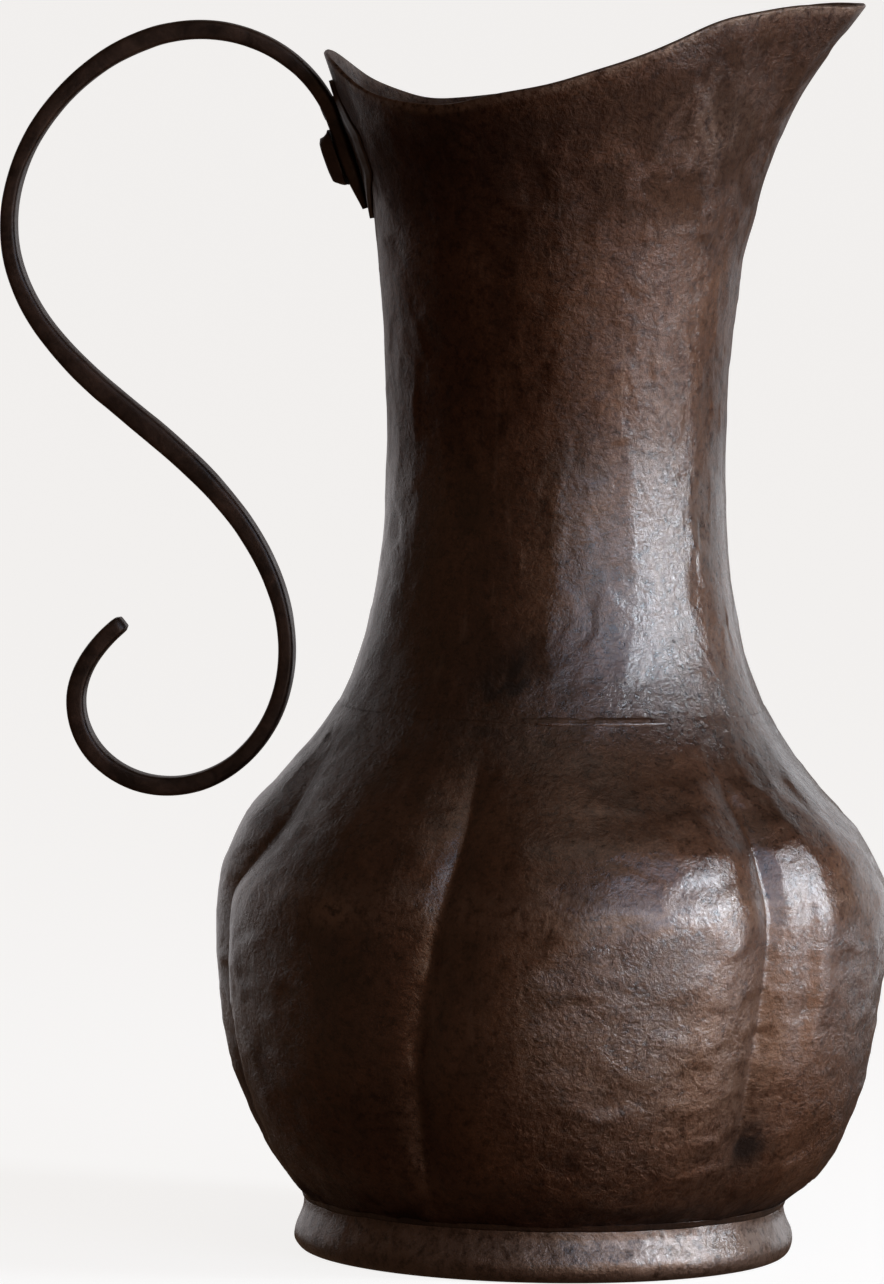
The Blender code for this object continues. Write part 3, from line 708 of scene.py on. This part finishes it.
def neck_nicks(turn, height):
    """Short slanted nicks from a hammer's edge, in millimetres."""
    rng = np.random.default_rng(31)
    relief = np.zeros(turn.shape)
    for _ in range(240):
        middle = rng.uniform(-math.pi, math.pi)
        level = rng.uniform(200, 256)
        lean, length, width = rng.normal(-1.0, 0.4), rng.uniform(0.9, 2.2), rng.uniform(0.5, 0.8)
        depth = rng.uniform(0.08, 0.2)
        across = ((turn - middle + math.pi) % math.tau - math.pi) * 42
        near = (np.abs(across) < 8) & (np.abs(height - level) < 10)
        a, b = across[near], height[near] - level
        along = a * math.cos(lean) + b * math.sin(lean)
        over = b * math.cos(lean) - a * math.sin(lean)
        cut = np.exp(-((along / length) ** 2)) * np.exp(-((over / width) ** 2))
        lip = np.exp(-((along / length) ** 2)) * np.exp(-(((over - 1.6 * width) / width) ** 2))
        relief[near] += depth * (0.5 * lip - cut)
    return relief


def neck_relief(turn, height, rim):
    share = (turn + math.pi) / math.tau
    broad = hammer_marks(share * 9, height / 38, 9, 21, 0.3, level=0.35, crisp=3)
    blows = hammer_marks(share * 27, height / 15.5, 27, 22, 0.5, 0.5, 0.2, 8)
    facets = hammer_marks(share * 48, height / 9, 48, 23, 0.55, 0.25, 0.25, 14)
    near_rim = 1 - 0.75 * ease(9, 0, rim - height)
    above_root = ease(140, 152, height)
    under_leaf = 1 - 0.95 * blob(angle_from(turn, 180), height, (0, 264), (26, 24))
    marks = 0.5 * broad + 0.3 * blows + 0.22 * facets + neck_nicks(turn, height)
    return near_rim * under_leaf * above_root * marks + collar_marks(turn, height)


def neck_lip(outer, normals):
    """The rim's edge: rounded, and a little thicker than the sheet."""
    upward = outer[-1] - outer[-3]
    upward /= np.linalg.norm(upward, axis=1, keepdims=True)
    half = SHEET / 2
    lip = []
    for degrees in LIP_TURNS:
        a = math.radians(degrees)
        bulge = LIP_BULGE * (math.cos(a) * normals[-1] + math.sin(a) * upward)
        lip.append(outer[-1] - normals[-1] * half + bulge * half)
    return np.array(lip)


def neck_skirt(turn, inset):
    """One face of the skirt that goes down inside the collar, set in from the neck's own line."""
    outward = np.stack([np.cos(turn[0]), np.sin(turn[0]), 0 * turn[0]], 1)
    return np.array([neck_surface(turn, np.full_like(turn, z))[0] - inset * outward for z in SKIRT_LEVELS])


def neck_layers(turn, height, rim, inside):
    side = angle_from(turn, FRONT)
    outside = 1 - inside
    near_rim = rim - height
    wear_and_highlight = 0.1 + 0.85 * ease(2.2, 0.3, near_rim) + 0.45 * ease(14, 2, near_rim) * ease(50, 110, side)
    wear_and_highlight += 0.4 * blob(angle_from(turn, -38), height, (0, 272), (16, 9)) * outside
    wear_and_highlight += 0.35 * blob(angle_from(turn, -45), height, (0, 180), (24, 40)) * outside
    soot_and_shade = 0.95 * blob(side, height, (-26, 140), (10, 9)) + 0.25 * ease(152, 134, height)
    soot_and_shade += 0.5 * blob(side, height, (-16, 146), (9, 6))
    # Darker inside, and on the outside above 232 mm.
    soot_and_shade += 0.55 * inside + 0.5 * ease(232, 258, height) * outside
    soot_and_shade *= 1 - 0.6 * ease(8, 1, near_rim)
    grain = 0.42 + 0.12 * ease(215, 260, height) + 0.16 * ease(146, 138, height)
    wax = 1 - 0.72 * ease(176, 206, height)
    return {"wear_and_highlight": wear_and_highlight, "soot_and_shade": soot_and_shade, "grain": grain, "wax": wax}


def make_neck(copper):
    even = math.tau * np.arange(NECK_COLUMNS) / NECK_COLUMNS - math.pi
    turn = (even - COLUMNS_TO_SPOUT * np.sin(even))[None, :]
    rim = rim_heights(turn) + 0.22 * np.sin(turn * 7 + 1) + 0.16 * np.sin(turn * 13)
    height = NECK_STARTS + np.linspace(0, 1, NECK_ROWS)[:, None] * (rim - NECK_STARTS)
    turns = turn + 0 * height
    smooth = neck_surface(turns, height)
    normals = grid_normals(smooth)
    outer = smooth + normals * neck_relief(turns, height, rim)[..., None]
    picked = np.unique(np.linspace(0, NECK_ROWS - 1, NECK_INNER_ROWS).round().astype(int))[::-1]
    inner = outer[picked] - normals[picked] * SHEET
    skirt_outer = neck_skirt(turn, SKIRT_INSET)
    skirt_inner = neck_skirt(turn, SKIRT_INSET + SHEET)[::-1]
    rows = np.vstack([skirt_outer, outer, neck_lip(outer, normals), inner, skirt_inner])
    inside = np.zeros(rows.shape[:2])
    inside[len(skirt_outer) + len(outer) + len(LIP_TURNS) // 2:] = 1
    layers = neck_layers(turn + 0 * inside, rows[..., 2], rim, inside)
    mesh = make_mesh("neck_hammered", rows, closed=True, layers=layers)
    add_piece("neck_hammered", mesh, copper, ["neck_shell"])


# Rings: foot, braze and solder


def ring_normals(points, section):
    """Unit normals of a closed section turned about the axis, pointing out of the section."""
    wrapped = np.concatenate([points[-1:], points, points[:1]])
    around = np.roll(wrapped, -1, 1) - np.roll(wrapped, 1, 1)
    along = wrapped[2:] - wrapped[:-2]
    normals = np.cross(around[1:-1], along)
    normals /= np.linalg.norm(normals, axis=2, keepdims=True)
    out = section - section.mean(0)
    leaning = normals[:, 0, 0] * out[:, 0] + normals[:, 0, 2] * out[:, 1]
    return normals if leaning.sum() >= 0 else -normals


def make_ring(name, section, columns, finish, replaced, relief, layers_of):
    """A closed section turned about the axis, with relief along its normals."""
    turn = math.tau * np.arange(columns)[None, :] / columns
    radius, height = section[:, :1], section[:, 1:]
    turns, levels = turn + 0 * height, height + 0 * turn
    points = np.stack([radius * np.cos(turn), radius * np.sin(turn), levels], 2)
    points = points + ring_normals(points, section) * relief(turns, levels)[..., None]
    points[..., 2] = np.maximum(points[..., 2], 0)
    mesh = make_mesh(name, points, closed=True, layers=layers_of(turns, points[..., 2]))
    add_piece(name, mesh, finish, replaced)


def closed_path(points, count):
    points = list(points) + [points[0]]
    return smooth_path(points, count + 1)[:-1]


def foot_relief(turn, height):
    share = (turn % math.tau) / math.tau
    broad = hammer_marks(share * 14, height / 30, 14, 41, 0.3, level=0.35, crisp=3)
    blows = hammer_marks(share * 52, height / 6.5 + 5, 52, 42, 0.5, 0.4, 0.3, 7)
    return ease(0, 2.5, height) * ease(13.5, 11, height) * (0.3 * broad + 0.26 * blows)


def foot_layers(turn, height):
    side = angle_from(turn, CAMERA_SIDE)
    wear_and_highlight = 0.4 + 0.4 * ease(3, 6, height) * ease(12, 9, height)
    # Painted highlight: a lighter patch on the foot, 28 degrees right of the camera's side.
    wear_and_highlight += 0.4 * blob(side, height, (28, 7), (14, 5))
    # Sooty at the top by the solder, and painted shade on the rolled edge where it turns under.
    soot_and_shade = 0.7 * ease(12.4, 13.3, height) + 0.4 * ease(1.6, 0.4, height)
    return {"wear_and_highlight": wear_and_highlight, "soot_and_shade": soot_and_shade, "grain": np.full(height.shape, 0.4), "wax": 1 + 0 * turn}


def make_foot(copper):
    section = closed_path(FOOT_SECTION, 72)
    make_ring("foot_rolled", section, 360, copper, ["foot_band"], foot_relief, foot_layers)


def seam_layers(turn, height):
    side = angle_from(turn, FRONT)
    soot_and_shade = 0.25 + 0.52 * blob(side, height, (-26, 132), (12, 30))
    return {"wear_and_highlight": 0.11 + 0 * turn, "soot_and_shade": soot_and_shade, "grain": 0.5 + 0 * turn, "wax": 1 + 0 * turn}


def make_seam(copper):
    """Braze in the joint of collar and neck. Its own marks lift it proud of them here and there."""
    low, high = SEAM_LEVELS
    top_radius, top_height = BELLY_LINE[0]
    levels = np.linspace(low, high, SEAM_ROWS)
    collar = top_radius + COLLAR_SLOPE * (top_height - levels)
    wall = np.where(levels < NECK_STARTS, collar, curve_values(NECK_WAIST, levels))
    ends = ease(low + 0.5, low, levels) + ease(high - 0.6, high, levels)
    radii = wall - SEAM_UNDER - SEAM_ENDS_UNDER * ends
    section = np.array([*zip(radii, levels), *SEAM_BACK])
    make_ring(
        "seam_dressed", section, 372, copper, ["neck_braze_seam"], collar_marks, seam_layers,
    )


def solder_relief(turn, height):
    share = (turn % math.tau) / math.tau
    return 0.12 * hammer_marks(share * 40, height / 3, 40, 61, 0.6, level=0.6, crisp=3)


def solder_layers(turn, height):
    return {"wear_and_highlight": 0 * turn, "soot_and_shade": 0.8 + 0 * turn, "grain": 0.4 + 0 * turn, "wax": 1 + 0 * turn}


def make_solder(copper):
    section = closed_path(SOLDER_SECTION, 24)
    make_ring(
        "solder_fillet", section, 300, copper, ["foot_solder"], solder_relief, solder_layers,
    )


# Handle


def back_wall(height):
    """Point and outward normal of the neck's back wall, in the plane of the handle."""
    low, radius, high = (float(curve_values(BACK_FLARE, height + d)) for d in (-SLOPE_STEP, 0, SLOPE_STEP))
    normal = np.array([-1.0, 0.0, -(high - low) / (2 * SLOPE_STEP)])
    return np.array([-radius, 0.0, height]), normal / np.linalg.norm(normal)


def bar_stations():
    """Lengths and centres along the bar, from the tongue's tip to the scroll's end."""
    lengths, centres = [], []
    _, slope = back_wall(HANDLE_LEAVES_AT)
    for i in range(TONGUE):
        length = -TONGUE + i
        thickness = float(curve_values(BAR_THICKNESS, length))
        point, normal = back_wall(HANDLE_LEAVES_AT + length * abs(slope[0]))
        lengths.append(length)
        centres.append(point + normal * (BAR_SEAT + thickness / 2))
    point, normal = back_wall(HANDLE_LEAVES_AT)
    centre = point + normal * (BAR_SEAT + float(curve_values(BAR_THICKNESS, 0)) / 2)
    heading = math.atan2(-normal[0], normal[2])
    lengths.append(0)
    centres.append(centre)
    knots, bends = zip(*BAR_BENDS)
    for i in range(BAR_LENGTH):
        turn = math.radians(float(np.interp(i + 0.5, knots, bends)))
        middle = heading + turn / 2
        centre = centre + np.array([math.cos(middle), 0, math.sin(middle)])
        heading += turn
        lengths.append(i + 1)
        centres.append(centre)
    return np.array(lengths, float), np.array(centres)


def rounded_square(turn, power):
    """Cosine and sine of a turn round a square whose corners are rounder the larger the power."""
    c, s = np.cos(turn), np.sin(turn)
    return np.sign(c) * np.abs(c) ** power, np.sign(s) * np.abs(s) ** power


def make_bar(iron):
    lengths, centres = bar_stations()
    along = np.gradient(centres, axis=0)
    along /= np.linalg.norm(along, axis=1, keepdims=True)
    out = np.stack([-along[:, 2], 0 * lengths, along[:, 0]], 1)
    turn = (math.tau * (np.arange(BAR_SIDES) + 0.5) / BAR_SIDES)[None, :]
    across, aside = rounded_square(turn, BAR_SQUARENESS)
    blows = hammer_marks(turn / math.tau * 6, lengths[:, None] / 9, 6, 71, 0.5, 0.4, 0.4, 6)
    end = 1 - 0.3 * np.clip((lengths - BAR_LENGTH + 1.6) / 1.6, 0, 1)[:, None] ** 2
    thickness = curve_values(BAR_THICKNESS, lengths)[:, None]
    width = curve_values(BAR_WIDTH, lengths)[:, None]
    half_thick = thickness / 2 * across * (1 + 0.035 * blows) * end
    half_wide = width / 2 * aside * (1 + 0.02 * blows) * end
    rows = centres[:, None, :] + out[:, None, :] * half_thick[..., None] + TO_SIDE * half_wide[..., None]
    mesh = make_mesh("handle_forged", rows, poles=True)
    add_piece("handle_forged", mesh, iron, ["handle_bar"])


def sheet_border(rows, columns):
    """Indices of a grid's border points, in order round it."""
    last = (rows - 1) * columns
    border = list(range(columns)) + [i * columns + columns - 1 for i in range(1, rows)]
    border += [last + j for j in range(columns - 2, -1, -1)]
    return border + [i * columns for i in range(rows - 2, 0, -1)]


def sheet_mesh(name, outer, inner):
    """A closed sheet from two facing grids of points."""
    rows, columns = outer.shape[:2]
    points = np.vstack([outer.reshape(-1, 3), inner.reshape(-1, 3)])
    half = rows * columns
    faces = []
    for i in range(rows - 1):
        for j in range(columns - 1):
            a = i * columns + j
            b, c, d = a + 1, a + columns + 1, a + columns
            faces += [(a, b, c, d), (half + d, half + c, half + b, half + a)]
    border = sheet_border(rows, columns)
    for a, b in zip(border, border[1:] + border[:1]):
        faces.append((b, a, half + a, half + b))
    mesh = bpy.data.meshes.new(name)
    mesh.from_pydata((points * MM).tolist(), [], faces)
    mesh.transform(TO_AXIS)
    fix_facing(mesh)
    mesh.shade_smooth()
    return mesh


def leaf_grid():
    """Turn and height of the leaf's points on the back of the neck, and each one's place across it."""
    share = np.linspace(0, 1, LEAF_ROWS)[:, None]
    across = np.linspace(-1, 1, LEAF_COLUMNS)[None, :]
    low, high = LEAF_HEIGHTS
    height = low + (high - low) * share
    fullness = np.maximum(np.sin(math.pi * share), 0) ** LEAF_FULLNESS
    half = LEAF_TIP + (LEAF_HALF_WIDTH - LEAF_TIP) * fullness
    ragged = 1 + 0.03 * np.sin(share * 23) + 0.02 * np.sin(share * 41 + 1)
    turn = math.pi + across * half * ragged / curve_values(BACK_FLARE, height)
    return (turn + math.pi) % math.tau - math.pi, height + 0 * turn, across


def make_leaf(iron):
    turn, height, across = leaf_grid()
    points = neck_surface(turn, height)
    upward = neck_surface(turn, height + SLOPE_STEP) - neck_surface(turn, height - SLOPE_STEP)
    around = np.stack([-np.sin(turn), np.cos(turn), 0 * turn], 2)
    normals = np.cross(around, upward)
    normals /= np.linalg.norm(normals, axis=2, keepdims=True)
    marks = hammer_marks(across * 3 + 5 + 0 * height, height / 5.5, 12, 81, 0.5, 0.3, 0.3, 6)
    thin = np.clip((1 - np.abs(across)) * 6, 0.35, 1)
    inner = points + normals * (GAP * 0.3)
    outer = points + normals * (GAP * 0.3 + LEAF_THICKNESS * thin + 0.1 * marks)[..., None]
    mesh = sheet_mesh("handle_leaf_beaten", outer, inner)
    add_piece("handle_leaf_beaten", mesh, iron, ["handle_leaf"])


def make_rivet(name, replaced, height, head, iron):
    """A rivet square to the neck's wall at a height: its head on the bar, and its peened end inside."""
    point, normal = back_wall(height)
    up = np.array([-normal[2], 0.0, normal[0]])
    if up[2] < 0:
        up = -up
    turn = math.tau * (np.arange(RIVET_SIDES) + 0.5) / RIVET_SIDES
    face = BAR_SEAT + float(curve_values(BAR_THICKNESS, RIVETS_AT_LENGTH))
    rings = [(*ring, face + above) for *ring, above in head] + list(PEENED_END)
    rng = np.random.default_rng(91)
    rows = []
    for half_up, half_side, power, distance in rings:
        dented = 1 + 0.03 * np.sin(turn * 3 + rng.uniform(0, 6))
        c, s = rounded_square(turn, power)
        middle = point + normal * distance
        rise, aside = half_up * c * dented, half_side * s * dented
        rows.append(middle + up * rise[:, None] + TO_SIDE * aside[:, None])
    mesh = make_mesh(name, np.array(rows), poles=True)
    add_piece(name, mesh, iron, replaced)


def make_rivets(iron):
    make_rivet("rivet_block", ["handle_rivet_square"], SQUARE_RIVET_AT, SQUARE_HEAD, iron)
    make_rivet("rivet_flush", ["handle_rivet_flush"], FLUSH_RIVET_AT, FLUSH_HEAD, iron)


# Stage, lights and camera


def panel_light(name, degrees, rise, distance, size, radiance, colour):
    """A soft rectangular panel that faces the jug, at an angle round its axis and above the level."""
    data = bpy.data.lights.new(name, "AREA")
    data.shape = "RECTANGLE"
    data.size, data.size_y = size
    data.energy = radiance * math.pi * size[0] * size[1]
    data.color = colour
    light = bpy.data.objects.new(name, data)
    bpy.context.scene.collection.objects.link(light)
    a, e = math.radians(degrees), math.radians(rise)
    away = Vector((math.cos(e) * math.cos(a), math.cos(e) * math.sin(a), math.sin(e)))
    light.location = Vector((AXIS.x, AXIS.y, LIGHTS_AIM)) + away * distance
    light.rotation_euler = (-away).to_track_quat("-Z", "Y").to_euler()
    light.visible_camera = False
    return light


def add_stage():
    """A pale floor that curves up into a pale room."""
    profile = [(0.02, 0), (0.5, 0), (1.5, 0), (3, 0), (FLOOR_RADIUS, 0)]
    for i in range(1, COVE_STEPS + 1):
        a = math.radians(90 * i / COVE_STEPS)
        profile.append((FLOOR_RADIUS + COVE_RADIUS * math.sin(a), COVE_RADIUS * (1 - math.cos(a))))
    profile += [(7.4, 5), (6, 7), (3, 8.4), (0.02, 9)]
    radius, height = (np.array(profile) / MM).T[:, :, None]
    turn = math.tau * np.arange(STAGE_SIDES)[None, :] / STAGE_SIDES
    rows = np.stack([radius * np.cos(turn), radius * np.sin(turn), height - BELOW_FOOT + 0 * turn], 2)
    mesh = make_mesh("stage", rows, poles=True)
    mesh.flip_normals()
    finish = Finish("pale_stage")
    finish.set(
        Base_Color=(0.3, 0.297, 0.294), Roughness=1.0, Emission_Color=(1.0, 0.99, 0.98),
        Emission_Strength=0.86,
    )
    mesh.materials.append(finish.material)
    stage = bpy.data.objects.new("stage", mesh)
    bpy.context.scene.collection.objects.link(stage)
    stage.visible_glossy = False
    stage.visible_diffuse = False
    stage.visible_shadow = False
    stage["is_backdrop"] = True


def add_lights():
    for light in ROOM_LIGHTS:
        panel_light(*light)
    jug = bpy.data.collections.new("jug")
    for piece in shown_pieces():
        jug.objects.link(piece)
    for light in JUG_LIGHTS:
        panel_light(*light).light_linking.receiver_collection = jug
    world = bpy.data.worlds.new("room")
    world.use_nodes = True
    background = world.node_tree.nodes["Background"].inputs
    background["Color"].default_value, background["Strength"].default_value = WORLD_GLOW
    bpy.context.scene.world = world


def add_camera():
    data = bpy.data.cameras.new("camera")
    data.sensor_fit = "VERTICAL"
    data.sensor_height = SENSOR_HEIGHT
    data.lens = LENS
    data.clip_end = 20
    camera = bpy.data.objects.new("camera", data)
    bpy.context.scene.collection.objects.link(camera)
    side = math.radians(CAMERA_SIDE)
    toward = Vector((math.cos(side), math.sin(side), 0))
    right = Vector((-toward.y, toward.x, 0))
    aim = Vector((AXIS.x, AXIS.y, AIM_HEIGHT)) - right * AIM_LEFT
    camera.location = Vector((*(aim + toward * CAMERA_DISTANCE).xy, CAMERA_HEIGHT))
    roll = Quaternion((0, 0, 1), math.radians(CAMERA_ROLL))
    camera.rotation_euler = ((aim - camera.location).to_track_quat("-Z", "Y") @ roll).to_euler()
    bpy.context.scene.camera = camera


def finish_carried_over(iron, wire):
    """Gives the CAD pieces that stay their finish."""
    for node in ("rivet_washer_square", "rivet_washer_flush"):
        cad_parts[node].material_slots[0].material = iron
    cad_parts["foot_wire"].material_slots[0].material = wire


# Copper: roughness from and to, then the wax's weight and roughness. Iron: dark, light and oil coat
copper = patinated_copper("copper_patina_look", COPPER_TONES, (0.44, 0.6), (1.0, 0.07))
foot_copper = patinated_copper("copper_worn_look", FOOT_TONES, (0.48, 0.62), (0.8, 0.11))
iron = forged_iron("forged_iron_look", (0.03, 0.017, 0.012), (0.10, 0.056, 0.038), 0.35)
rivet_iron = forged_iron("rivet_iron_look", (0.03, 0.017, 0.012), (0.09, 0.05, 0.036), 0.3)
wire = forged_iron("wire_look", (0.06, 0.03, 0.02), (0.12, 0.07, 0.05), 0.1)
make_belly(copper)
make_neck(copper)
make_seam(copper)
make_foot(foot_copper)
make_solder(foot_copper)
make_bar(iron)
make_leaf(iron)
make_rivets(rivet_iron)
finish_carried_over(rivet_iron, wire)
add_stage()
add_lights()
add_camera()
bpy.context.scene.view_settings.view_transform = "Standard"
